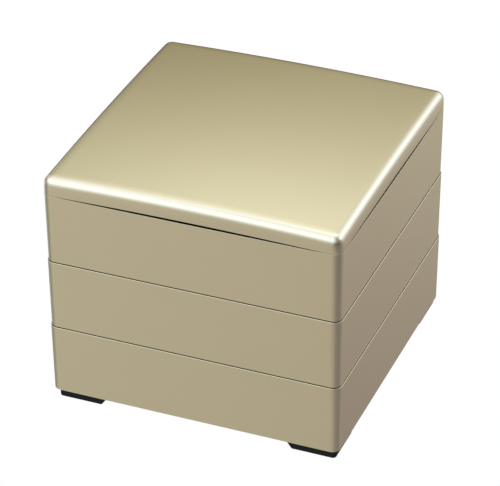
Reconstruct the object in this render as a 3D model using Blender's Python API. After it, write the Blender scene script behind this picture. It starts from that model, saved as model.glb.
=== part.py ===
"""Tiered food box: three like square trays that stack, a crowned lid and four corner feet.

Every size is in metres. The box stands on Z = 0, centred on the Z axis, with its front facing -Y.
Each tray rests on the rim of the tray below, with a step under its floor that drops into that rim.
The lid rests on the top tray by its four corners, because its lower edge is arched along each side.
"""

import math

import bmesh
import bpy

# Outer form
BOX_WIDTH = 0.1950
TRAY_HEIGHT = 0.0479
TRAY_DRAFT = 0.0006
CORNER_RADIUS = 0.0060
RIM_ROUNDING = 0.0003
LOWER_EDGE_ROUNDING = 0.0005

# Walls and floors
WALL = 0.0028
FLOOR = 0.0030
FLOOR_FILLET = 0.0040

# How the pieces seat in each other
SEAT_GAP = 0.0003
STEP_DEPTH = 0.0020
STEP_CLEARANCE = 0.0005
STEP_CHAMFER = 0.0006

# Lid
LID_SETBACK = 0.0001
LID_CORNER_HEIGHT = 0.0114
LID_THICKNESS = 0.0030
LID_EDGE_RADIUS = 0.0054
LID_CROWN = 0.0018
LID_LOWER_ARCH = 0.0012
LID_LOWER_ROUNDING = 0.0004
LIP_CLEARANCE = 0.0006
LIP_WALL = 0.0022
LIP_DEPTH = 0.0050

# Feet
FOOT_HEIGHT = 0.0054
FOOT_LENGTH = 0.0292
FOOT_BREADTH = 0.0105
FOOT_FRONT_SETBACK = 0.0018
FOOT_SIDE_SETBACK = 0.0022
FOOT_CORNER_RADIUS = 0.0025
FOOT_END_SLANT = 0.0040
FOOT_ROUNDING = 0.0008
LEFT_FEET_SHIFT = 0.0016

# How finely the curves are cut
CORNER_STEPS = 7
LID_SIDE_STEPS = 8
LID_EDGE_STEPS = 6
FILLET_STEPS = 4
ROUNDING_STEPS = 2
CROWN_RINGS = (0.8, 0.55, 0.28)
SHARP_ANGLE = math.radians(35)

# Finishes: colour, roughness and metallic value
CHAMPAGNE_PAINT = ((0.50, 0.44, 0.30), 0.35, 0.6)
BLACK_RUBBER = ((0.012, 0.015, 0.016), 0.6, 0.0)

# What stacks on the feet, from the lowest up, and how deep a step each has under its floor
TRAYS = (("tier_bottom", 0.0), ("tier_middle", STEP_DEPTH), ("tier_top", STEP_DEPTH))
FEET = (
    ("foot_front_left", -1, -1),
    ("foot_front_right", 1, -1),
    ("foot_back_left", -1, 1),
    ("foot_back_right", 1, 1),
)

# What follows from the sizes above
HALF_WIDTH = BOX_WIDTH / 2
TRAY_PITCH = TRAY_HEIGHT + SEAT_GAP
LOWEST_TRAY_AT = FOOT_HEIGHT + SEAT_GAP
LID_AT = LOWEST_TRAY_AT + len(TRAYS) * TRAY_PITCH
LIP_INSET = WALL + LIP_CLEARANCE
SHARPEST_SHARE = 0.15
SHARPEST_CORNER = SHARPEST_SHARE * CORNER_RADIUS


def clear_scene():
    for item in list(bpy.data.objects):
        bpy.data.objects.remove(item, do_unlink=True)


def plain_material(name, finish):
    colour, roughness, metallic = finish
    material = bpy.data.materials.new(name)
    material.use_nodes = True
    shader = material.node_tree.nodes["Principled BSDF"]
    shader.inputs["Base Color"].default_value = (*colour, 1.0)
    shader.inputs["Roughness"].default_value = roughness
    shader.inputs["Metallic"].default_value = metallic
    return material


def rounded_square(inset, side_steps):
    """Points round a square that lies this far inside the widest outline, anticlockwise from above."""
    half = HALF_WIDTH - inset
    radius = max(CORNER_RADIUS - inset, SHARPEST_CORNER)
    straight = half - radius
    quarter = [(half, straight * (2 * step / side_steps - 1)) for step in range(side_steps + 1)]
    for step in range(1, CORNER_STEPS):
        angle = math.pi / 2 * step / CORNER_STEPS
        quarter.append((straight + radius * math.cos(angle), straight + radius * math.sin(angle)))
    points = []
    for _ in range(4):
        points.extend(quarter)
        quarter = [(-y, x) for x, y in quarter]
    return points


def arc(inset, height, radius, start, end, steps):
    """Insets and heights along an arc about a centre, between two angles given in degrees."""
    places = []
    for step in range(steps + 1):
        angle = math.radians(start + (end - start) * step / steps)
        places.append((inset - radius * math.cos(angle), height + radius * math.sin(angle)))
    return places


def loft(name, rings, material, start_point=None, end_point=None):
    """Join rings of equal length into one closed solid, each end shut by a flat face or a point."""
    mesh = bmesh.new()
    loops = [[mesh.verts.new(point) for point in ring] for ring in rings]
    count = len(loops[0])
    for lower, upper in zip(loops, loops[1:]):
        for index in range(count):
            following = (index + 1) % count
            mesh.faces.new((lower[index], lower[following], upper[following], upper[index]))
    for loop, point in ((loops[0], start_point), (loops[-1], end_point)):
        if point is None:
            mesh.faces.new(loop)
            continue
        middle = mesh.verts.new(point)
        for index in range(count):
            mesh.faces.new((loop[index], loop[(index + 1) % count], middle))
    bmesh.ops.recalc_face_normals(mesh, faces=mesh.faces)
    data = bpy.data.meshes.new(name)
    mesh.to_mesh(data)
    mesh.free()
    data.shade_smooth()
    data.set_sharp_from_angle(angle=SHARP_ANGLE)
    data.materials.append(material)
    solid = bpy.data.objects.new(name, data)
    bpy.context.scene.collection.objects.link(solid)
    return solid


def tray(name, height_above_ground, step_depth, material):
    """An open tray: inside floor, inner wall, rim, outer wall, lower edge, and the step underneath."""
    floor_top = FLOOR - step_depth
    inner_foot = WALL + TRAY_DRAFT
    rim_level = TRAY_HEIGHT - RIM_ROUNDING
    profile = arc(inner_foot + FLOOR_FILLET, floor_top + FLOOR_FILLET, FLOOR_FILLET, -90, 0, FILLET_STEPS)
    profile += arc(WALL - RIM_ROUNDING, rim_level, RIM_ROUNDING, 180, 90, ROUNDING_STEPS)
    profile += arc(RIM_ROUNDING, rim_level, RIM_ROUNDING, 90, 0, ROUNDING_STEPS)
    profile += arc(TRAY_DRAFT + LOWER_EDGE_ROUNDING, LOWER_EDGE_ROUNDING, LOWER_EDGE_ROUNDING, 0, -90,
                   ROUNDING_STEPS)
    if step_depth > 0:
        step_inset = WALL + STEP_CLEARANCE
        profile.append((step_inset, 0.0))
        profile.append((step_inset, STEP_CHAMFER - step_depth))
        profile.append((step_inset + STEP_CHAMFER, -step_depth))
    rings = [[(x, y, height) for x, y in rounded_square(inset, 1)] for inset, height in profile]
    solid = loft(name, rings, material)
    solid.location = (0, 0, height_above_ground)
    return solid


def crown_height(x, y):
    """Height of the lid's top over its seat, which rises from the corners to the middle."""
    share = 2 - (x / HALF_WIDTH) ** 2 - (y / HALF_WIDTH) ** 2
    return LID_CORNER_HEIGHT + LID_CROWN * share


def arch_height(x, y):
    """Height of the lid's lower edge over its seat: nothing at the corners, highest at mid-side."""
    straight = HALF_WIDTH - CORNER_RADIUS
    along_x = min(1.0, abs(x) / straight)
    along_y = min(1.0, abs(y) / straight)
    return LID_LOWER_ARCH * (2 - along_x ** 2 - along_y ** 2)


def shrunk(ring, share):
    return [(x * share, y * share) for x, y in ring]


def lid(name, height_above_ground, material):
    """A crowned lid with a round top edge and a lip inside, as rings from its underside to its top."""
    lip_inner = rounded_square(LIP_INSET + LIP_WALL, LID_SIDE_STEPS)
    lip_outer = rounded_square(LIP_INSET, LID_SIDE_STEPS)
    rings = []
    for share in (*reversed(CROWN_RINGS), 1.0):
        rings.append([(x, y, crown_height(x, y) - LID_THICKNESS) for x, y in shrunk(lip_inner, share)])
    rings.append([(x, y, -LIP_DEPTH) for x, y in lip_inner])
    rings.append([(x, y, -LIP_DEPTH) for x, y in lip_outer])
    rings.append([(x, y, arch_height(x, y)) for x, y in lip_outer])
    lower_edge = arc(LID_SETBACK + LID_LOWER_ROUNDING, LID_LOWER_ROUNDING, LID_LOWER_ROUNDING, -90, 0,
                     ROUNDING_STEPS)
    for inset, rise in lower_edge:
        outline = rounded_square(inset, LID_SIDE_STEPS)
        rings.append([(x, y, arch_height(x, y) + rise) for x, y in outline])
    top_edge = arc(LID_SETBACK + LID_EDGE_RADIUS, -LID_EDGE_RADIUS, LID_EDGE_RADIUS, 0, 90, LID_EDGE_STEPS)
    for inset, drop in top_edge:
        outline = rounded_square(inset, LID_SIDE_STEPS)
        rings.append([(x, y, crown_height(x, y) + drop) for x, y in outline])
    crown_outline = rounded_square(LID_SETBACK + LID_EDGE_RADIUS, LID_SIDE_STEPS)
    for share in CROWN_RINGS:
        rings.append([(x, y, crown_height(x, y)) for x, y in shrunk(crown_outline, share)])
    underside = (0, 0, crown_height(0, 0) - LID_THICKNESS)
    top = (0, 0, crown_height(0, 0))
    solid = loft(name, rings, material, underside, top)
    solid.location = (0, 0, height_above_ground)
    return solid


def foot_outline(arm, inset, outer_radius):
    """An L round a corner at the origin, its arms along +X and +Y, drawn this far inside its full outline."""
    near = inset
    far = FOOT_BREADTH - inset
    end = arm - inset
    outer = outer_radius - inset
    inner = outer_radius / 2 + inset
    points = [(end, near), (end, far)]
    for step in range(CORNER_STEPS + 1):
        angle = math.pi / 2 * step / CORNER_STEPS
        points.append((far + inner - inner * math.sin(angle), far + inner - inner * math.cos(angle)))
    points += [(far, end), (near, end)]
    for step in range(CORNER_STEPS + 1):
        angle = math.pi / 2 * step / CORNER_STEPS
        points.append((near + outer - outer * math.cos(angle), near + outer - outer * math.sin(angle)))
    return points


def foot(name, x_side, y_side, material):
    """An L-shaped foot under one corner of the lowest tray, with ends that slant in towards the ground."""
    side_setback = FOOT_SIDE_SETBACK + (LEFT_FEET_SHIFT if x_side < 0 else 0.0)
    corner_x = HALF_WIDTH - TRAY_DRAFT - side_setback
    corner_y = HALF_WIDTH - TRAY_DRAFT - FOOT_FRONT_SETBACK
    outer_radius = max(FOOT_CORNER_RADIUS, 2 * FOOT_ROUNDING)
    slope = FOOT_END_SLANT / FOOT_HEIGHT
    levels = (
        (FOOT_LENGTH, FOOT_ROUNDING, 0.0),
        (FOOT_LENGTH + slope * FOOT_ROUNDING, 0.0, FOOT_ROUNDING),
        (FOOT_LENGTH + FOOT_END_SLANT, 0.0, FOOT_HEIGHT),
    )
    rings = []
    for arm, inset, height in levels:
        outline = foot_outline(arm, inset, outer_radius)
        rings.append([(-x_side * x, -y_side * y, height) for x, y in outline])
    solid = loft(name, rings, material)
    solid.location = (x_side * corner_x, y_side * corner_y, 0)
    return solid


def build():
    clear_scene()
    for level, (name, step_depth) in enumerate(TRAYS):
        paint = plain_material(name + "_paint", CHAMPAGNE_PAINT)
        tray(name, LOWEST_TRAY_AT + level * TRAY_PITCH, step_depth, paint)
    lid("lid", LID_AT, plain_material("lid_paint", CHAMPAGNE_PAINT))
    for name, x_side, y_side in FEET:
        foot(name, x_side, y_side, plain_material(name + "_rubber", BLACK_RUBBER))


build()
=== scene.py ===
"""Looks of a tiered food box: pearl champagne paint, black rubber feet, a pale floor and soft studio light.

Every size is in metres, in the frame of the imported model: +Z up, the front facing -Y, the feet on Z = 0.
The box is three like trays, a crowned lid that rests on them by its corners, and four corner feet.
"""

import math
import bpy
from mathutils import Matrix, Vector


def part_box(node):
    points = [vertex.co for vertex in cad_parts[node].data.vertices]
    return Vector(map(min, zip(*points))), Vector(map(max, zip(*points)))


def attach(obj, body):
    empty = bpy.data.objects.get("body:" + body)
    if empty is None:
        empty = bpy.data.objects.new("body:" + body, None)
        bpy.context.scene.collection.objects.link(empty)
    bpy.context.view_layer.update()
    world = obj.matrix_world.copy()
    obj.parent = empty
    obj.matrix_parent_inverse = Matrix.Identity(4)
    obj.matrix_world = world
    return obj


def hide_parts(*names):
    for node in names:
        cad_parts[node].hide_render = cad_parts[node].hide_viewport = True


bl_info = {
    "name": "Tiered food box",
    "version": (1, 0, 0),
    "blender": (4, 5, 0),
    "location": "3D View > Sidebar > Food box",
    "description": "Makes a square three-tier food box with a crowned lid, its paint and its studio",
    "category": "Object",
}

import bmesh
import bpy
from bpy.props import FloatProperty, FloatVectorProperty, IntProperty, PointerProperty
from mathutils import Matrix, Vector

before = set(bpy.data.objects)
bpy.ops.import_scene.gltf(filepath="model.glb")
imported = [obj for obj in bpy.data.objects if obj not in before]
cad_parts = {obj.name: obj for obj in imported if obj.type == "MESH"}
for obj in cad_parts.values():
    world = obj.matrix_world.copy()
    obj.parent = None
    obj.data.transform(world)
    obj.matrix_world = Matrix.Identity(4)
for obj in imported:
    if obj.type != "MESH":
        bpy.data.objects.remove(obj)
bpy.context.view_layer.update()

# What the frame says of the pieces
TRAY_NODES = ("tier_bottom", "tier_middle", "tier_top")
FOOT_NODES = ("foot_front_left", "foot_front_right", "foot_back_left", "foot_back_right")
LOWEST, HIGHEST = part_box("tier_bottom")
TRAY_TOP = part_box("tier_top")[1].z
LID_LOW, LID_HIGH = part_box("lid")

# Gaps that keep touching faces apart: under the lid's corners, and under the feet
LID_GAP = 0.00003
FLOOR_GAP = 0.0003

# Further in, a corner's radius shrinks with the inset, but not below this share of the outer radius
SHARPEST_SHARE = 0.15

# Points closer than this are one, and edges that turn more than these angles are sharp or rounded
WELD_DISTANCE = 0.00001
SHARP_ANGLE = math.radians(35)
ROUNDED_ANGLE = math.radians(40)

# Body of the record that the pieces hang from, through an empty
BODY = "root"


def length(name, description, default):
    """A size that a user can change, in metres."""
    return FloatProperty(name=name, description=description, default=default, min=0.0, precision=5,
                         subtype="DISTANCE", unit="LENGTH")


def share(name, description, default):
    return FloatProperty(name=name, description=description, default=default, min=0.0, max=1.0,
                         subtype="FACTOR")


def colour(name, description, default):
    return FloatVectorProperty(name=name, description=description, default=default, size=3, min=0.0, max=1.0,
                               subtype="COLOR")


def count(name, description, default):
    return IntProperty(name=name, description=description, default=default, min=2)


class TraySizes(bpy.types.PropertyGroup):
    """Sizes of one tray. All three trays are alike, but the lowest has no step under its floor."""

    width: length("Width", "Outer width at the rim", HIGHEST.x - LOWEST.x)
    height: length("Height", "From the lower edge to the rim", HIGHEST.z - LOWEST.z)
    rim_rise: length("Rim rise", "How much higher rims narrow the seams of the two lower trays", 0.00015)
    corner_radius: length("Corner radius", "Radius of the upright corners", 0.0060)
    draft: length("Draft", "How much further in the lower edge lies than the rim", 0.0006)
    wall: length("Wall", "Wall thickness at the rim", 0.0028)
    floor: length("Floor", "Floor thickness", 0.0030)
    floor_fillet: length("Floor fillet", "Radius between the floor and the wall inside", 0.0040)
    rim_rounding: length("Rim rounding", "Radius of the rim's two edges", 0.00022)
    top_rim_rounding: length("Top rim rounding", "Radius of the top rim's two edges, under the lid", 0.0001)
    lower_rounding: length("Lower edge rounding", "Radius of the lower edge", 0.0005)
    step_clearance: length("Step clearance", "Gap between the step and the wall that it drops into", 0.0005)
    step_chamfer: length("Step chamfer", "Chamfer round the foot of the step", 0.0006)
    corner_segments: count("Corner segments", "Facets round a corner", 14)
    edge_segments: count("Edge segments", "Facets across a rounding", 4)


class LidSizes(bpy.types.PropertyGroup):
    """Sizes of the lid, which shares the trays' width, corners and walls."""

    setback: length("Setback", "How far inside the rim below the lid's side lies", 0.0001)
    thickness: length("Thickness", "Thickness of the top", 0.0030)
    edge_radius: length("Edge radius", "Radius of the round top edge", 0.0054)
    crown: length("Crown", "How much higher the middle of a side is than its corners", 0.0018)
    lower_arch: length("Lower arch", "How far the lower edge lifts off the rim at mid-side", 0.0014)
    lower_rounding: length("Lower rounding", "Radius of the lower outer edge", 0.00015)
    lip_clearance: length("Lip clearance", "Gap between the lip and the tray's wall", 0.0006)
    lip_wall: length("Lip wall", "Thickness of the lip", 0.0022)
    side_segments: count("Side segments", "Facets along a side", 48)
    edge_segments: count("Edge segments", "Facets across the top edge", 14)
    crown_rings: count("Crown rings", "Rings from the edge to the middle", 24)


class FootSizes(bpy.types.PropertyGroup):
    """Sizes of the L-shaped corner feet."""

    breadth: length("Breadth", "Width of each arm", 0.0105)
    end_slant: length("End slant", "How much shorter an arm is at the ground than under the tray", 0.0040)
    outer_radius: length("Outer radius", "Radius of the outer corner", 0.0025)
    inner_radius: length("Inner radius", "Radius of the inner corner", 0.0012)
    rounding: length("Rounding", "Radius of the edges", 0.0008)
    corner_segments: count("Corner segments", "Facets round a corner", 8)


class Finishes(bpy.types.PropertyGroup):
    """Colours and gloss of the paint, the inside and the rubber."""

    paint: colour("Paint", "Body colour of the champagne paint", (0.62, 0.54, 0.36))
    paint_metal: share("Paint metal", "How metallic the pearl is", 1.0)
    paint_roughness: share("Paint roughness", "Roughness of the pearl coat", 0.18)
    paint_wave: length("Paint wave", "Size of the slight waves in the sprayed paint", 0.0014)
    paint_wave_depth: length("Paint wave depth", "Depth of those waves", 0.000006)
    # Thin paint on the faces where the trays meet, made dark so that it paints the shade of the seams
    seam_paint_and_shade: colour("Seam paint and shade", "Colour of the thin paint on the faces that meet", (0.20, 0.165, 0.08))
    inside: colour("Inside", "Colour of the satin black inside", (0.012, 0.012, 0.013))
    inside_wave_depth: length("Inside wave depth", "Depth of the waves in the black lacquer", 0.000004)
    rubber: colour("Rubber", "Colour of the feet", (0.007, 0.010, 0.007))
    rubber_depth: length("Rubber depth", "Depth of the rubber's fine pitting", 0.00002)
    rubber_gloss: share("Rubber gloss", "How much the rubber mirrors", 0.12)


class Studio(bpy.types.PropertyGroup):
    """Where the camera stands, and the stage round the box."""

    azimuth: FloatProperty(name="Azimuth", description="Camera's turn to the right of the front",
                           default=math.radians(22.038), subtype="ANGLE", unit="ROTATION")
    elevation: FloatProperty(name="Elevation", description="Camera's height angle",
                             default=math.radians(32.090), subtype="ANGLE", unit="ROTATION")
    roll: FloatProperty(name="Roll", description="Camera's turn about its own axis",
                        default=math.radians(-0.389), subtype="ANGLE", unit="ROTATION")
    distance: length("Distance", "From the camera to the point that it looks at", 1.7936)
    look_at: FloatVectorProperty(name="Look at", description="Point at the centre of the picture",
                                 default=(0.00036, 0.0, 0.08057), size=3, subtype="XYZ", unit="LENGTH")
    lens: FloatProperty(name="Lens", description="Focal length in millimetres", default=201.87, min=1.0)
    floor: length("Floor", "Width of the floor", 4.0)
    room: colour("Room", "Light of the room round the soft panels", (0.070, 0.050, 0.045))
    panel_strength: FloatProperty(name="Panel strength", description="How strong the soft panels are",
                                  default=1.0, min=0.0)


# Node helpers

def add(tree, kind, inputs=None, **settings):
    """A new node with its settings, and with values or links put into its named or numbered sockets."""
    node = tree.nodes.new(kind)
    for name, value in settings.items():
        setattr(node, name, value)
    for socket, value in (inputs or {}).items():
        if isinstance(value, bpy.types.NodeSocket):
            tree.links.new(value, node.inputs[socket])
        else:
            node.inputs[socket].default_value = value
    return node


def new_group(name, kind, inputs, outputs):
    """An empty node group, with (name, type, default) for each input and (name, type) for each output."""
    tree = bpy.data.node_groups.new(name, kind)
    for label, socket_type, default in inputs:
        socket = tree.interface.new_socket(label, in_out="INPUT", socket_type=socket_type)
        if default is not None:
            socket.default_value = default
    for label, socket_type in outputs:
        tree.interface.new_socket(label, in_out="OUTPUT", socket_type=socket_type)
    return tree, tree.nodes.new("NodeGroupInput"), tree.nodes.new("NodeGroupOutput")


def maths(tree, operation, first, second=0.0):
    return add(tree, "ShaderNodeMath", {0: first, 1: second}, operation=operation).outputs[0]


def vector(tree, x=0.0, y=0.0, z=0.0):
    return add(tree, "ShaderNodeCombineXYZ", {"X": x, "Y": y, "Z": z}).outputs[0]


def by_index(tree, data_type, index, values):
    """A field that gives the first point the first value, the second the second, and so on."""
    node = add(tree, "GeometryNodeIndexSwitch", {"Index": index}, data_type=data_type)
    while len(node.index_switch_items) < len(values):
        node.index_switch_items.new()
    for number, value in enumerate(values):
        socket = node.inputs[number + 1]
        if isinstance(value, bpy.types.NodeSocket):
            tree.links.new(value, socket)
        else:
            socket.default_value = value
    return node.outputs[0]


def run_nodes(name, tree, values):
    """The plain object that a geometry tree makes when its named inputs have these values."""
    carrier = bpy.data.objects.new(name + "_carrier", bpy.data.meshes.new(name + "_carrier"))
    bpy.context.scene.collection.objects.link(carrier)
    modifier = carrier.modifiers.new("Shape", "NODES")
    modifier.node_group = tree
    sockets = {item.name: item.identifier for item in tree.interface.items_tree if item.item_type == "SOCKET"}
    for label, value in values.items():
        modifier[sockets[label]] = value
    return plain_copy(name, carrier)


def plain_copy(name, carrier):
    """Turn an object with live modifiers into a plain mesh at the origin, and remove the object."""
    evaluated = carrier.evaluated_get(bpy.context.evaluated_depsgraph_get())
    data = bpy.data.meshes.new_from_object(evaluated)
    data.name = name
    spare = carrier.data
    bpy.data.objects.remove(carrier)
    bpy.data.meshes.remove(spare)
    piece = bpy.data.objects.new(name, data)
    bpy.context.scene.collection.objects.link(piece)
    if not data.polygons:
        raise RuntimeError(name + " came out empty")
    return piece


def weigh_normals(piece):
    """Keep flat faces flat in shading, so that only the roundings between them turn the light."""
    modifier = piece.modifiers.new("Weighted normals", "WEIGHTED_NORMAL")
    modifier.keep_sharp = True
    return plain_copy(piece.name, piece)


# Materials

def swing(tree, pattern, contrast):
    """A pattern between 0 and 1 as a swing round 0 of this contrast."""
    return maths(tree, "MULTIPLY", maths(tree, "SUBTRACT", pattern, 0.5), contrast)


def pattern_in_space(tree, kind, size, **inputs):
    """A pattern in the object's own space, with spots of this size in metres."""
    place = add(tree, "ShaderNodeTexCoord").outputs["Object"]
    scale = maths(tree, "DIVIDE", 1.0, size)
    return add(tree, kind, {"Vector": place, "Scale": scale, **inputs}).outputs


def brightened(tree, tint, brightness):
    return add(tree, "ShaderNodeVectorMath", {0: tint, 3: brightness}, operation="SCALE").outputs[0]


def pearl_group():
    """Fine mica in paint, some flakes brighter than others, and a slow drift where the spray lay thicker."""
    tree, given, result = new_group("Pearl mica", "ShaderNodeTree", (
        ("Colour", "NodeSocketColor", (0.5, 0.45, 0.33, 1.0)),
        ("Roughness", "NodeSocketFloat", 0.2),
        ("Flake size", "NodeSocketFloat", 0.00018),
        ("Flake contrast", "NodeSocketFloat", 0.10),
        ("Gloss share", "NodeSocketFloat", 0.5),
        ("Drift size", "NodeSocketFloat", 0.045),
        ("Drift", "NodeSocketFloat", 0.03),
    ), (
        ("Colour", "NodeSocketColor"),
        ("Roughness", "NodeSocketFloat"),
    ))
    size = given.outputs
    flakes = pattern_in_space(tree, "ShaderNodeTexVoronoi", size["Flake size"], Randomness=1.0)
    flake = add(tree, "ShaderNodeSeparateColor", {"Color": flakes["Color"]}).outputs["Red"]
    cloud = pattern_in_space(tree, "ShaderNodeTexNoise", size["Drift size"], Detail=2.0)["Fac"]
    flake_swing = swing(tree, flake, size["Flake contrast"])
    both = maths(tree, "ADD", flake_swing, swing(tree, cloud, size["Drift"]))
    rough = maths(tree, "ADD", size["Roughness"], maths(tree, "MULTIPLY", flake_swing, size["Gloss share"]))
    tree.links.new(brightened(tree, size["Colour"], maths(tree, "ADD", 1.0, both)), result.inputs["Colour"])
    tree.links.new(rough, result.inputs["Roughness"])
    return tree


def grain_group():
    """Unevenness of a moulded or sprayed surface: its relief, and the colour and gloss that vary with it."""
    tree, given, result = new_group("Surface grain", "ShaderNodeTree", (
        ("Colour", "NodeSocketColor", (0.01, 0.01, 0.01, 1.0)),
        ("Roughness", "NodeSocketFloat", 0.4),
        ("Grain size", "NodeSocketFloat", 0.001),
        ("Colour contrast", "NodeSocketFloat", 0.1),
        ("Gloss contrast", "NodeSocketFloat", 0.1),
    ), (
        ("Colour", "NodeSocketColor"),
        ("Roughness", "NodeSocketFloat"),
        ("Height", "NodeSocketFloat"),
    ))
    size = given.outputs
    relief = pattern_in_space(tree, "ShaderNodeTexNoise", size["Grain size"], Detail=2.0)["Fac"]
    brightness = maths(tree, "ADD", 1.0, swing(tree, relief, size["Colour contrast"]))
    rough = maths(tree, "ADD", size["Roughness"], swing(tree, relief, size["Gloss contrast"]))
    tree.links.new(brightened(tree, size["Colour"], brightness), result.inputs["Colour"])
    tree.links.new(rough, result.inputs["Roughness"])
    tree.links.new(relief, result.inputs["Height"])
    return tree


def dust_group():
    """A few specks of dust, each a small soft spot somewhere in its own cell of space."""
    tree, given, result = new_group("Dust specks", "ShaderNodeTree", (
        ("Colour", "NodeSocketColor", (0.5, 0.45, 0.33, 1.0)),
        ("Spacing", "NodeSocketFloat", 0.03),
        ("Speck size", "NodeSocketFloat", 0.0005),
        ("Core share", "NodeSocketFloat", 0.4),
        ("Darkness", "NodeSocketFloat", 0.3),
    ), (("Colour", "NodeSocketColor"),))
    size = given.outputs
    cells = pattern_in_space(tree, "ShaderNodeTexVoronoi", size["Spacing"], Randomness=1.0)
    away = maths(tree, "MULTIPLY", cells["Distance"], size["Spacing"])
    core = maths(tree, "MULTIPLY", size["Speck size"], size["Core share"])
    speck = add(tree, "ShaderNodeMapRange", {"Value": away, 1: size["Speck size"], 2: core}).outputs[0]
    dimmed = maths(tree, "SUBTRACT", 1.0, maths(tree, "MULTIPLY", speck, size["Darkness"]))
    tree.links.new(brightened(tree, size["Colour"], dimmed), result.inputs["Colour"])
    return tree


def new_material(name):
    """A material's node tree and its Principled shader."""
    material = bpy.data.materials.new(name)
    material.use_nodes = True
    return material.node_tree, material.node_tree.nodes["Principled BSDF"]


def effect(tree, group, **values):
    """A shared effect in a material, with its own values or links."""
    node = add(tree, "ShaderNodeGroup", node_tree=bpy.data.node_groups[group])
    for label, value in values.items():
        socket = node.inputs[label.replace("_", " ").capitalize()]
        if isinstance(value, bpy.types.NodeSocket):
            tree.links.new(value, socket)
        else:
            socket.default_value = value
    return node.outputs


def set_surface(tree, shader, tint, roughness, height=None, depth=0.0):
    """Give the shader its colour and roughness, and let a height pattern this deep tilt the surface."""
    tree.links.new(tint, shader.inputs["Base Color"])
    tree.links.new(roughness, shader.inputs["Roughness"])
    if height:
        relief = add(tree, "ShaderNodeBump", {"Height": height, "Distance": depth, "Strength": 1.0})
        tree.links.new(relief.outputs["Normal"], shader.inputs["Normal"])


def champagne_paint(name, finishes):
    """Pearl paint with fine mica, the slight waviness of sprayed lacquer and a few specks of dust."""
    tree, shader = new_material(name)
    waves = effect(tree, "Surface grain", colour=(*finishes.paint, 1.0), roughness=finishes.paint_roughness,
                   grain_size=finishes.paint_wave, colour_contrast=0.02, gloss_contrast=0.03)
    mica = effect(tree, "Pearl mica", colour=waves["Colour"], roughness=waves["Roughness"])
    dust = effect(tree, "Dust specks", colour=mica["Colour"])
    set_surface(tree, shader, dust["Colour"], mica["Roughness"], waves["Height"], finishes.paint_wave_depth)
    shader.inputs["Metallic"].default_value = finishes.paint_metal


def seam_paint_with_painted_shade(name, finishes):
    """The faces where the trays meet: a thin coat of paint over the black body, darkened as painted shade in
    the seams.
    """
    tree, shader = new_material(name)
    seam_coat = effect(tree, "Surface grain", colour=(*finishes.seam_paint_and_shade, 1.0), roughness=0.35,
                  grain_size=0.0004, colour_contrast=0.8, gloss_contrast=0.2)
    set_surface(tree, shader, seam_coat["Colour"], seam_coat["Roughness"])
    shader.inputs["Metallic"].default_value = finishes.paint_metal


def black_inside(name, finishes):
    """Satin black lacquer, a little wavy, its gloss a little cloudy."""
    tree, shader = new_material(name)
    lacquer = effect(tree, "Surface grain", colour=(*finishes.inside, 1.0), roughness=0.30,
                     grain_size=0.0016, colour_contrast=0.2, gloss_contrast=0.12)
    set_surface(tree, shader, lacquer["Colour"], lacquer["Roughness"], lacquer["Height"],
                finishes.inside_wave_depth)


def black_rubber(name, finishes):
    """Matte black rubber with the fine pitting of its mould."""
    tree, shader = new_material(name)
    pitting = effect(tree, "Surface grain", colour=(*finishes.rubber, 1.0), roughness=0.6,
                     grain_size=0.0003, colour_contrast=0.5, gloss_contrast=0.2)
    set_surface(tree, shader, pitting["Colour"], pitting["Roughness"], pitting["Height"],
                finishes.rubber_depth)
    shader.inputs["Specular IOR Level"].default_value = finishes.rubber_gloss


# Trays

# How far inside each corner of the tray's section counts. A face takes the mean of its corners:
# above the first limit it is a face that meets another tray, above the second it is black
LINING = (1.0, 1.0, 1.0, 0.0, 0.2, 1.0, 1.0, 1.0)
JOINED = 0.45
LINED = 0.75
TRAY_INPUTS = ("Width", "Height", "Corner radius", "Draft", "Wall", "Floor", "Floor fillet", "Rim rounding",
               "Lower rounding", "Step depth", "Step clearance", "Step chamfer", "Level")


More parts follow.
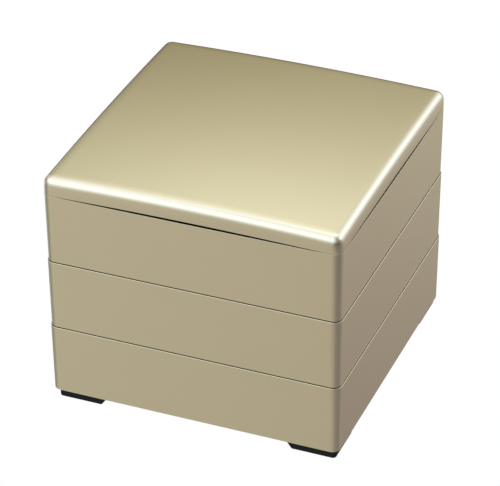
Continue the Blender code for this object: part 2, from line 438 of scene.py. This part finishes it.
def tray_tree():
    """A tray as a section swept round a rounded square, its floor and underside closed to the middle."""
    lengths = tuple((label, "NodeSocketFloat", 0.0) for label in TRAY_INPUTS)
    counts = (("Corner segments", "NodeSocketInt", 8), ("Edge segments", "NodeSocketInt", 3))
    finishes = tuple((label, "NodeSocketMaterial", None) for label in ("Outside", "Joint", "Inside"))
    tree, given, result = new_group("Stacking tray", "GeometryNodeTree", lengths + counts + finishes,
                                    (("Geometry", "NodeSocketGeometry"),))
    size = given.outputs

    def plus(first, second):
        return maths(tree, "ADD", first, second)

    def minus(first, second):
        return maths(tree, "SUBTRACT", first, second)

    def times(first, second):
        return maths(tree, "MULTIPLY", first, second)

    def of_vectors(operation, first, second=(0.0, 0.0, 0.0), scale=1.0):
        inputs = {0: first, 3: scale} if operation == "SCALE" else {0: first, 1: second}
        return add(tree, "ShaderNodeVectorMath", inputs, operation=operation).outputs[0]

    def keep(name, geometry, value):
        return add(tree, "GeometryNodeStoreNamedAttribute", {
            "Geometry": geometry, "Name": name, "Value": value}, data_type="FLOAT_VECTOR",
            domain="POINT").outputs[0]

    def kept(name):
        return add(tree, "GeometryNodeInputNamedAttribute", {"Name": name},
                   data_type="FLOAT_VECTOR").outputs["Attribute"]

    # Corners of the section as (inset, height), from the floor inside, over the rim, to the underside
    wall_foot = plus(size["Wall"], size["Draft"])
    floor_top = minus(size["Floor"], size["Step depth"])
    inner_end = plus(plus(wall_foot, size["Floor fillet"]), size["Rim rounding"])
    step_at = plus(size["Wall"], size["Step clearance"])
    under = minus(0.0, size["Step depth"])
    section = (
        (inner_end, floor_top, 0.0),
        (wall_foot, floor_top, size["Floor fillet"]),
        (size["Wall"], size["Height"], size["Rim rounding"]),
        (0.0, size["Height"], size["Rim rounding"]),
        (size["Draft"], 0.0, size["Lower rounding"]),
        (step_at, 0.0, 0.0),
        (step_at, under, size["Step chamfer"]),
        (inner_end, under, 0.0),
    )
    line = add(tree, "GeometryNodeMeshLine", {"Count": len(section)})
    profile = add(tree, "GeometryNodeMeshToCurve", {"Mesh": line.outputs[0]})
    index = add(tree, "GeometryNodeInputIndex").outputs[0]
    insets = by_index(tree, "FLOAT", index, [corner[0] for corner in section])
    heights = by_index(tree, "FLOAT", index, [corner[1] for corner in section])
    radii = by_index(tree, "FLOAT", index, [corner[2] for corner in section])
    # A swept profile has its X pointing out of the box and its Y pointing down
    spot = vector(tree, minus(0.0, insets), minus(0.0, heights))
    placed = add(tree, "GeometryNodeSetPosition", {"Geometry": profile.outputs[0], "Position": spot})
    lining = by_index(tree, "FLOAT", index, LINING)
    marked = add(tree, "GeometryNodeStoreNamedAttribute", {
        "Geometry": placed.outputs[0], "Name": "lining", "Value": lining}, data_type="FLOAT", domain="POINT")
    rounded = add(tree, "GeometryNodeFilletCurve", {
        "Curve": marked.outputs[0], "Count": size["Edge segments"], "Radius": radii}, mode="POLY")

    place = add(tree, "GeometryNodeInputPosition").outputs[0]
    profile = keep("section", rounded.outputs[0], place)

    # Each point of the outline keeps its corner and which way it faces
    half = times(size["Width"], 0.5)
    radius = size["Corner radius"]
    outline = add(tree, "GeometryNodeCurvePrimitiveQuadrilateral", {
        "Width": size["Width"], "Height": size["Width"]})
    corners = add(tree, "GeometryNodeFilletCurve", {
        "Curve": outline.outputs[0], "Count": size["Corner segments"], "Radius": radius}, mode="POLY")
    quarter = of_vectors("SIGN", place)
    middle = of_vectors("SCALE", quarter, scale=minus(half, radius))
    off_middle = of_vectors("SUBTRACT", place, middle)
    away = of_vectors("SCALE", off_middle, scale=maths(tree, "DIVIDE", 1.0, radius))
    path = keep("away", keep("quarter", corners.outputs[0], quarter), away)
    upright = add(tree, "GeometryNodeSetCurveNormal", {"Curve": path}, mode="Z_UP")
    sweep = add(tree, "GeometryNodeCurveToMesh", {"Curve": upright.outputs[0], "Profile Curve": profile})

    # Further in, the corners turn on a smaller radius, but never a sharp one
    point = add(tree, "ShaderNodeSeparateXYZ", {0: kept("section")}).outputs
    inset = minus(0.0, point["X"])
    tighter = maths(tree, "MAXIMUM", minus(radius, inset), times(radius, SHARPEST_SHARE))
    reach = of_vectors("SCALE", kept("quarter"), scale=minus(minus(half, inset), tighter))
    turned = of_vectors("SCALE", kept("away"), scale=tighter)
    level = vector(tree, z=minus(0.0, point["Y"]))
    shaped = add(tree, "GeometryNodeSetPosition", {
        "Geometry": sweep.outputs[0],
        "Position": of_vectors("ADD", of_vectors("ADD", reach, turned), level)})

    # Close the floor and the underside
    neighbours = add(tree, "GeometryNodeInputMeshEdgeNeighbors").outputs[0]
    border = add(tree, "FunctionNodeCompare", {2: neighbours, 3: 1}, data_type="INT", operation="EQUAL")
    grown = add(tree, "GeometryNodeExtrudeMesh", {
        "Mesh": shaped.outputs[0], "Selection": border.outputs[0], "Offset Scale": 0.0}, mode="EDGES")
    height = add(tree, "ShaderNodeSeparateXYZ", {0: place})
    closed = add(tree, "GeometryNodeSetPosition", {
        "Geometry": grown.outputs["Mesh"], "Selection": grown.outputs["Top"],
        "Position": vector(tree, z=height.outputs["Z"])})
    merged = add(tree, "GeometryNodeMergeByDistance", {
        "Geometry": closed.outputs[0], "Distance": WELD_DISTANCE})

    smooth = add(tree, "GeometryNodeSetShadeSmooth", {"Geometry": merged.outputs[0], "Shade Smooth": True})
    angle = add(tree, "GeometryNodeInputMeshEdgeAngle").outputs[0]
    crease = maths(tree, "GREATER_THAN", angle, SHARP_ANGLE)
    sharp = add(tree, "GeometryNodeSetShadeSmooth", {
        "Geometry": smooth.outputs[0], "Selection": crease, "Shade Smooth": False}, domain="EDGE")
    lifted = add(tree, "GeometryNodeTransform", {
        "Geometry": sharp.outputs[0], "Translation": vector(tree, z=size["Level"])})
    whole = add(tree, "GeometryNodeRealizeInstances", {"Geometry": lifted.outputs[0]})
    painted = add(tree, "GeometryNodeSetMaterial", {
        "Geometry": whole.outputs[0], "Material": size["Outside"]})
    marks = add(tree, "GeometryNodeInputNamedAttribute", {"Name": "lining"}, data_type="FLOAT")
    # The faces where trays meet take the dark seam paint, which paints the shade of the seams
    joint = maths(tree, "GREATER_THAN", marks.outputs["Attribute"], JOINED)
    joined = add(tree, "GeometryNodeSetMaterial", {
        "Geometry": painted.outputs[0], "Selection": joint, "Material": size["Joint"]})
    inside = maths(tree, "GREATER_THAN", marks.outputs["Attribute"], LINED)
    made = add(tree, "GeometryNodeSetMaterial", {
        "Geometry": joined.outputs[0], "Selection": inside, "Material": size["Inside"]})
    for name in ("lining", "section", "quarter", "away"):
        made = add(tree, "GeometryNodeRemoveAttribute", {"Geometry": made.outputs[0], "Name": name})
    tree.links.new(made.outputs[0], result.inputs[0])
    return tree


class FOODBOX_OT_trays(bpy.types.Operator):
    """Make the three stacking trays, each as one hollow shell with a rounded rim"""

    bl_idname = "foodbox.trays"
    bl_label = "Make trays"

    def execute(self, context):
        sizes = context.scene.food_box_trays
        tree = tray_tree()
        outside = bpy.data.materials["Champagne paint, trays"]
        # Dark seam paint: painted shade on the faces where the trays meet
        joint = bpy.data.materials["Thin seam paint with painted shade, joints"]
        inside = bpy.data.materials["Satin black, inside"]
        for node in TRAY_NODES:
            low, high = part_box(node)
            level = high.z - sizes.height
            topmost = node == TRAY_NODES[-1]
            rise = 0.0 if topmost else sizes.rim_rise
            piece = run_nodes("tray_" + node.split("_")[1], tree, {
                "Width": sizes.width,
                "Height": sizes.height + rise,
                "Corner radius": sizes.corner_radius,
                "Draft": sizes.draft,
                "Wall": sizes.wall,
                "Floor": sizes.floor,
                "Floor fillet": sizes.floor_fillet,
                "Rim rounding": sizes.top_rim_rounding if topmost else sizes.rim_rounding,
                "Lower rounding": sizes.lower_rounding,
                "Step depth": max(0.0, level - low.z),
                "Step clearance": sizes.step_clearance,
                "Step chamfer": sizes.step_chamfer,
                "Level": level,
                "Corner segments": sizes.corner_segments,
                "Edge segments": sizes.edge_segments,
                "Outside": outside,
                "Joint": joint,
                "Inside": inside,
            })
            piece = weigh_normals(piece)
            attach(piece, BODY)
            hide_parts(node)
        return {"FINISHED"}


# Lid

def rounded_square(half, radius, side_segments, corner_segments):
    """Points round a square with rounded corners, anticlockwise from above."""
    straight = half - radius
    quarter = []
    for step in range(side_segments + 1):
        quarter.append((half, straight * (2 * step / side_segments - 1)))
    for step in range(1, corner_segments):
        angle = math.pi / 2 * step / corner_segments
        quarter.append((straight + radius * math.cos(angle), straight + radius * math.sin(angle)))
    points = []
    for _ in range(4):
        points.extend(quarter)
        quarter = [(-y, x) for x, y in quarter]
    return points


# Finishes of the lid, as the numbers of its material slots
LID_FINISHES = ("Champagne paint, lid", "Thin seam paint with painted shade, joints", "Satin black, inside")
PAINTED, SEAM_SHADED, BLACK = range(len(LID_FINISHES))


def loft(name, rings, first_point, last_point, bands):
    """A closed solid through rings of equal length, its ends drawn to points, with a finish for each band."""
    mesh = bmesh.new()
    loops = [[mesh.verts.new(point) for point in ring] for ring in rings]
    around = len(loops[0])
    for lower, upper, finish in zip(loops, loops[1:], bands):
        for index in range(around):
            following = (index + 1) % around
            face = mesh.faces.new((lower[index], lower[following], upper[following], upper[index]))
            face.material_index = finish
    ends = ((loops[0], first_point, bands[0]), (loops[-1], last_point, bands[-1]))
    for loop, point, finish in ends:
        middle = mesh.verts.new(point)
        for index in range(around):
            face = mesh.faces.new((loop[index], loop[(index + 1) % around], middle))
            face.material_index = finish
    bmesh.ops.recalc_face_normals(mesh, faces=mesh.faces)
    data = bpy.data.meshes.new(name)
    mesh.to_mesh(data)
    mesh.free()
    data.shade_smooth()
    data.set_sharp_from_angle(angle=SHARP_ANGLE)
    piece = bpy.data.objects.new(name, data)
    bpy.context.scene.collection.objects.link(piece)
    return piece


def lid_rings(sizes, trays):
    """Rings of the lid from the middle of its underside, round its lip and side, to the middle of its top."""
    full_half = trays.width / 2
    straight = full_half - trays.corner_radius

    def crown(x, y):
        return LID_HIGH.z - sizes.crown * ((x / full_half) ** 2 + (y / full_half) ** 2)

    def arch(x, y):
        along_x = min(1.0, abs(x) / straight)
        along_y = min(1.0, abs(y) / straight)
        return TRAY_TOP + LID_GAP + sizes.lower_arch * (2 - along_x ** 2 - along_y ** 2)

    def outline(inset):
        radius = max(trays.corner_radius - inset, SHARPEST_SHARE * trays.corner_radius)
        return rounded_square(full_half - inset, radius, sizes.side_segments, trays.corner_segments)

    def ring(points, surface, offset=0.0):
        return [(x, y, surface(x, y) + offset) for x, y in points]

    lip_outer = outline(trays.wall + sizes.lip_clearance)
    lip_inner = outline(trays.wall + sizes.lip_clearance + sizes.lip_wall)
    shares = [step / sizes.crown_rings for step in range(1, sizes.crown_rings)]
    rings = []
    for part in (*shares, 1.0):
        rings.append(ring([(x * part, y * part) for x, y in lip_inner], crown, -sizes.thickness))
    rings.append([(x, y, LID_LOW.z) for x, y in lip_inner])
    rings.append([(x, y, LID_LOW.z) for x, y in lip_outer])
    rings.append(ring(lip_outer, arch))
    for step in range(sizes.edge_segments // 2 + 1):
        angle = math.pi / 2 * step / (sizes.edge_segments // 2)
        inset = sizes.setback + sizes.lower_rounding * (1 - math.sin(angle))
        rings.append(ring(outline(inset), arch, sizes.lower_rounding * (1 - math.cos(angle))))
    for step in range(sizes.edge_segments + 1):
        angle = math.pi / 2 * step / sizes.edge_segments
        inset = sizes.setback + sizes.edge_radius * (1 - math.cos(angle))
        rings.append(ring(outline(inset), crown, sizes.edge_radius * (math.sin(angle) - 1)))
    top = outline(sizes.setback + sizes.edge_radius)
    for part in reversed(shares):
        rings.append(ring([(x * part, y * part) for x, y in top], crown))
    lining = len(shares) + 3
    outside = len(rings) - lining - 2
    # The land under the lid takes the dark seam paint, as painted shade in the lid's seam
    bands = [BLACK] * lining + [SEAM_SHADED] + [PAINTED] * outside
    return rings, (0, 0, crown(0, 0) - sizes.thickness), (0, 0, crown(0, 0)), bands


class FOODBOX_OT_lid(bpy.types.Operator):
    """Make the crowned lid with its round top edge, its arched lower edge and the lip inside"""

    bl_idname = "foodbox.lid"
    bl_label = "Make lid"

    def execute(self, context):
        sizes = context.scene.food_box_lid
        trays = context.scene.food_box_trays
        piece = loft("crowned_lid", *lid_rings(sizes, trays))
        for finish in LID_FINISHES:
            piece.data.materials.append(bpy.data.materials[finish])
        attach(piece, BODY)
        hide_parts("lid")
        return {"FINISHED"}


# Feet

FOOT_INPUTS = ("Arm", "Breadth", "Height", "End slant", "Outer radius", "Inner radius")

# How close to an arm's end a point has to lie to slant out with it
END_REACH = 0.0001


def foot_tree():
    """An L with its corner at the origin and its arms along +X and +Y, its ends slanting in to the ground."""
    lengths = tuple((label, "NodeSocketFloat", 0.0) for label in FOOT_INPUTS)
    tree, given, result = new_group("Corner foot", "GeometryNodeTree", lengths + (
        ("Corner segments", "NodeSocketInt", 6),
        ("X side", "NodeSocketFloat", 1.0),
        ("Y side", "NodeSocketFloat", 1.0),
        ("Corner", "NodeSocketVector", (0.0, 0.0, 0.0)),
        ("Rubber", "NodeSocketMaterial", None),
    ), (("Geometry", "NodeSocketGeometry"),))
    size = given.outputs
    arm = maths(tree, "SUBTRACT", size["Arm"], size["End slant"])
    breadth = size["Breadth"]
    corners = (
        (0.0, 0.0, size["Outer radius"]),
        (arm, 0.0, 0.0),
        (arm, breadth, 0.0),
        (breadth, breadth, size["Inner radius"]),
        (breadth, arm, 0.0),
        (0.0, arm, 0.0),
    )
    line = add(tree, "GeometryNodeMeshCircle", {"Vertices": len(corners)})
    curve = add(tree, "GeometryNodeMeshToCurve", {"Mesh": line.outputs[0]})
    index = add(tree, "GeometryNodeInputIndex").outputs[0]
    spot = vector(tree, by_index(tree, "FLOAT", index, [corner[0] for corner in corners]),
                  by_index(tree, "FLOAT", index, [corner[1] for corner in corners]))
    placed = add(tree, "GeometryNodeSetPosition", {"Geometry": curve.outputs[0], "Position": spot})
    radii = by_index(tree, "FLOAT", index, [corner[2] for corner in corners])
    rounded = add(tree, "GeometryNodeFilletCurve", {
        "Curve": placed.outputs[0], "Count": size["Corner segments"], "Radius": radii}, mode="POLY")
    base = add(tree, "GeometryNodeFillCurve", {"Curve": rounded.outputs[0]}, mode="NGONS")
    welded = add(tree, "GeometryNodeMergeByDistance", {
        "Geometry": base.outputs[0], "Distance": WELD_DISTANCE})
    raised = add(tree, "GeometryNodeExtrudeMesh", {
        "Mesh": welded.outputs[0], "Offset": vector(tree, z=1.0), "Offset Scale": size["Height"]})
    bottom = add(tree, "GeometryNodeFlipFaces", {"Mesh": welded.outputs[0]})
    place = add(tree, "ShaderNodeSeparateXYZ", {0: add(tree, "GeometryNodeInputPosition").outputs[0]}).outputs
    near_end = maths(tree, "SUBTRACT", arm, END_REACH)
    longer = vector(
        tree,
        maths(tree, "MULTIPLY", maths(tree, "GREATER_THAN", place["X"], near_end), size["End slant"]),
        maths(tree, "MULTIPLY", maths(tree, "GREATER_THAN", place["Y"], near_end), size["End slant"]))
    slanted = add(tree, "GeometryNodeSetPosition", {
        "Geometry": raised.outputs["Mesh"], "Selection": raised.outputs["Top"], "Offset": longer})
    joined = add(tree, "GeometryNodeJoinGeometry")
    tree.links.new(slanted.outputs[0], joined.inputs[0])
    tree.links.new(bottom.outputs[0], joined.inputs[0])
    solid = add(tree, "GeometryNodeMergeByDistance", {
        "Geometry": joined.outputs[0], "Distance": WELD_DISTANCE})
    turned = add(tree, "GeometryNodeTransform", {
        "Geometry": solid.outputs[0], "Translation": size["Corner"],
        "Scale": vector(tree, size["X side"], size["Y side"], 1.0)})
    whole = add(tree, "GeometryNodeRealizeInstances", {"Geometry": turned.outputs[0]})
    finished = add(tree, "GeometryNodeSetMaterial", {
        "Geometry": whole.outputs[0], "Material": size["Rubber"]})
    tree.links.new(finished.outputs[0], result.inputs[0])
    return tree


class FOODBOX_OT_feet(bpy.types.Operator):
    """Make the four black corner feet, each an L with slanting ends and soft edges"""

    bl_idname = "foodbox.feet"
    bl_label = "Make feet"

    def execute(self, context):
        sizes = context.scene.food_box_feet
        tree = foot_tree()
        rubber = bpy.data.materials["Black rubber"]
        for node in FOOT_NODES:
            low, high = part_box(node)
            right = low.x > 0
            back = low.y > 0
            corner = Vector((high.x if right else low.x, high.y if back else low.y, low.z))
            piece = run_nodes("rubber_" + node, tree, {
                "Arm": high.x - low.x,
                "Breadth": sizes.breadth,
                "Height": high.z - low.z,
                "End slant": sizes.end_slant,
                "Outer radius": sizes.outer_radius,
                "Inner radius": sizes.inner_radius,
                "Corner segments": sizes.corner_segments,
                "X side": -1.0 if right else 1.0,
                "Y side": -1.0 if back else 1.0,
                "Corner": corner,
                "Rubber": rubber,
            })
            face_outwards(piece)
            soften_edges(piece, sizes.rounding)
            piece = weigh_normals(piece)
            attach(piece, BODY)
            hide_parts(node)
        return {"FINISHED"}


def face_outwards(piece):
    """Turn every face out, because mirroring turned some of them in."""
    mesh = bmesh.new()
    mesh.from_mesh(piece.data)
    bmesh.ops.recalc_face_normals(mesh, faces=mesh.faces)
    mesh.to_mesh(piece.data)
    mesh.free()
    piece.data.shade_smooth()


def soften_edges(piece, radius):
    bevel = piece.modifiers.new("Soft edges", "BEVEL")
    bevel.width = radius
    bevel.segments = 3
    bevel.limit_method = "ANGLE"
    bevel.angle_limit = ROUNDED_ANGLE


# Studio

WHITE = (1.0, 1.0, 1.0, 1.0)
SENSOR_WIDTH = 36.0
FARTHEST_SEEN = 50.0

# Soft panels: azimuth in degrees from the front towards the right, elevation, sharpness, light.
# A separate program fitted these numbers to one view, and the left panel's light was then changed by hand.
# The names only say where each panel lies
PANELS = (
    ("Ceiling", 174, 73, 8.2, (1.60, 1.88, 2.66)),
    ("Low card behind on the left", 250, -20, 60.0, (1.80, 1.97, 2.55)),
    ("Window behind on the right", 149, 21, 10.4, (1.34, 1.61, 2.21)),
    ("Strip behind", 204, 41, 60.0, (0.67, 0.79, 0.90)),
    ("Low card on the right", 124, -7, 4.3, (0.54, 0.55, 0.60)),
    ("Left panel", 285, 40, 5.5, (1.27, 1.38, 1.70)),
    ("Table behind", 165, -23, 60.0, (0.45, 0.46, 0.30)),
    ("Table on the front left", 328, -24, 8.5, (0.52, 0.50, 0.46)),
    ("Panel behind on the left", 232, 13, 33.7, (1.09, 1.14, 1.12)),
    ("Front panel", 347, 33, 4.8, (1.56, 1.90, 2.41)),
    ("Low card in front", 50, -58, 11.2, (0.53, 0.53, 0.64)),
    ("White table below", 283, -64, 7.5, (0.74, 0.87, 0.84)),
    ("Table in front", 12, -46, 25.0, (0.41, 0.36, 0.34)),
    ("Edge of the table behind", 149, -34, 33.6, (0.15, 0.10, 0.11)),
    ("Panel on the right", 109, 34, 22.5, (1.60, 1.87, 2.31)),
    ("Warm glow behind", 195, 43, 8.5, (0.37, 0.31, 0.00)),
    ("Warm glow on the right", 77, 31, 4.8, (0.19, 0.23, 0.13)),
)


def direction(azimuth, elevation):
    """Unit vector from the box, with the azimuth in degrees from the front towards the right."""
    turn, rise = math.radians(azimuth), math.radians(elevation)
    return Vector((math.sin(turn) * math.cos(rise), -math.cos(turn) * math.cos(rise), math.sin(rise)))


def camera_at(studio):
    """Aim the camera as the photographer did, looking down on the near right corner."""
    roll = studio.roll
    back = direction(math.degrees(studio.azimuth), math.degrees(studio.elevation))
    level = Vector((0.0, 0.0, 1.0)).cross(back).normalized()
    upward = back.cross(level)
    right = math.cos(roll) * level + math.sin(roll) * upward
    up = -math.sin(roll) * level + math.cos(roll) * upward
    camera = bpy.data.cameras.new("Camera")
    camera.lens = studio.lens
    camera.sensor_width = SENSOR_WIDTH
    camera.clip_end = FARTHEST_SEEN
    holder = bpy.data.objects.new("Camera", camera)
    eye = Vector(studio.look_at) + back * studio.distance
    holder.matrix_world = Matrix.Translation(eye) @ Matrix((right, up, back)).transposed().to_4x4()
    bpy.context.scene.collection.objects.link(holder)
    bpy.context.scene.camera = holder


def pale_floor(studio):
    """A plain floor that burns out to white in the picture. The box takes its light from the panels alone."""
    half = studio.floor / 2
    data = bpy.data.meshes.new("floor")
    corners = [(x * half, y * half, -FLOOR_GAP) for x, y in ((-1, -1), (1, -1), (1, 1), (-1, 1))]
    data.from_pydata(corners, [], [(0, 1, 2, 3)])
    floor = bpy.data.objects.new("floor", data)
    bpy.context.scene.collection.objects.link(floor)
    material = bpy.data.materials.new("White card")
    material.use_nodes = True
    tree = material.node_tree
    tree.nodes.clear()
    glow = add(tree, "ShaderNodeEmission", {"Color": WHITE, "Strength": 1.0})
    add(tree, "ShaderNodeOutputMaterial", {0: glow.outputs[0]})
    data.materials.append(material)
    floor.visible_diffuse = False
    floor.visible_glossy = False
    floor.visible_shadow = False


def panel_group():
    """Light that a soft panel adds: all of it towards its middle, fading smoothly away from it."""
    tree, given, result = new_group("Soft panel", "ShaderNodeTree", (
        ("View", "NodeSocketVector", None),
        ("Middle", "NodeSocketVector", None),
        ("Sharpness", "NodeSocketFloat", 4.0),
        ("Light", "NodeSocketVector", None),
        ("So far", "NodeSocketVector", None),
    ), (("Light", "NodeSocketVector"),))
    ways = given.outputs
    facing = add(tree, "ShaderNodeVectorMath", {0: ways["View"], 1: ways["Middle"]}, operation="DOT_PRODUCT")
    off = maths(tree, "SUBTRACT", facing.outputs["Value"], 1.0)
    part = maths(tree, "EXPONENT", maths(tree, "MULTIPLY", off, ways["Sharpness"]))
    glow = add(tree, "ShaderNodeVectorMath", {0: ways["Light"], 3: part}, operation="SCALE")
    total = add(tree, "ShaderNodeVectorMath", {0: ways["So far"], 1: glow.outputs[0]}, operation="ADD")
    tree.links.new(total.outputs[0], result.inputs["Light"])
    return tree


def studio_world(studio):
    """A dim room with soft panels, which the camera sees as plain white."""
    world = bpy.data.worlds.new("Studio")
    world.use_nodes = True
    tree = world.node_tree
    tree.nodes.clear()
    view = add(tree, "ShaderNodeTexCoord").outputs["Generated"]
    panel = panel_group()
    light = studio.room
    for name, azimuth, elevation, sharpness, glow in PANELS:
        node = add(tree, "ShaderNodeGroup", node_tree=panel, label=name)
        node.inputs["Middle"].default_value = direction(azimuth, elevation)
        node.inputs["Sharpness"].default_value = sharpness
        node.inputs["Light"].default_value = Vector(glow) * studio.panel_strength
        tree.links.new(view, node.inputs["View"])
        if isinstance(light, bpy.types.NodeSocket):
            tree.links.new(light, node.inputs["So far"])
        else:
            node.inputs["So far"].default_value = light
        light = node.outputs["Light"]
    lit = add(tree, "ShaderNodeBackground", {"Color": light})
    white = add(tree, "ShaderNodeBackground", {"Color": WHITE})
    seen = add(tree, "ShaderNodeLightPath").outputs["Is Camera Ray"]
    mix = add(tree, "ShaderNodeMixShader", {0: seen, 1: lit.outputs[0], 2: white.outputs[0]})
    add(tree, "ShaderNodeOutputWorld", {0: mix.outputs[0]})
    bpy.context.scene.world = world


class FOODBOX_OT_studio(bpy.types.Operator):
    """Set up the pale floor, the soft lights and the camera"""

    bl_idname = "foodbox.studio"
    bl_label = "Set up studio"

    def execute(self, context):
        studio = context.scene.food_box_studio
        camera_at(studio)
        pale_floor(studio)
        studio_world(studio)
        context.scene.view_settings.view_transform = "Standard"
        return {"FINISHED"}


class FOODBOX_OT_finishes(bpy.types.Operator):
    """Make the paint, the black inside and the rubber"""

    bl_idname = "foodbox.finishes"
    bl_label = "Make finishes"

    def execute(self, context):
        finishes = context.scene.food_box_finishes
        pearl_group()
        grain_group()
        dust_group()
        champagne_paint("Champagne paint, lid", finishes)
        champagne_paint("Champagne paint, trays", finishes)
        seam_paint_with_painted_shade("Thin seam paint with painted shade, joints", finishes)
        black_inside("Satin black, inside", finishes)
        black_rubber("Black rubber", finishes)
        return {"FINISHED"}


class FOODBOX_PT_sidebar(bpy.types.Panel):
    """Buttons that make the pieces in order, with their sizes below"""

    bl_label = "Tiered food box"
    bl_space_type = "VIEW_3D"
    bl_region_type = "UI"
    bl_category = "Food box"

    def draw(self, context):
        for operator in OPERATORS:
            self.layout.operator(operator.bl_idname)
        for name, group in SETTINGS.items():
            box = self.layout.box()
            settings = getattr(context.scene, name)
            for field in group.__annotations__:
                box.prop(settings, field)


SETTINGS = {
    "food_box_trays": TraySizes,
    "food_box_lid": LidSizes,
    "food_box_feet": FootSizes,
    "food_box_finishes": Finishes,
    "food_box_studio": Studio,
}
OPERATORS = (FOODBOX_OT_finishes, FOODBOX_OT_trays, FOODBOX_OT_lid, FOODBOX_OT_feet, FOODBOX_OT_studio)
CLASSES = (*SETTINGS.values(), *OPERATORS, FOODBOX_PT_sidebar)


def register():
    for item in CLASSES:
        bpy.utils.register_class(item)
    for name, group in SETTINGS.items():
        setattr(bpy.types.Scene, name, PointerProperty(type=group))


def unregister():
    for name in SETTINGS:
        delattr(bpy.types.Scene, name)
    for item in reversed(CLASSES):
        bpy.utils.unregister_class(item)


def main():
    register()
    bpy.ops.foodbox.finishes()
    bpy.ops.foodbox.trays()
    bpy.ops.foodbox.lid()
    bpy.ops.foodbox.feet()
    bpy.ops.foodbox.studio()


if __name__ == "__main__":
    main()
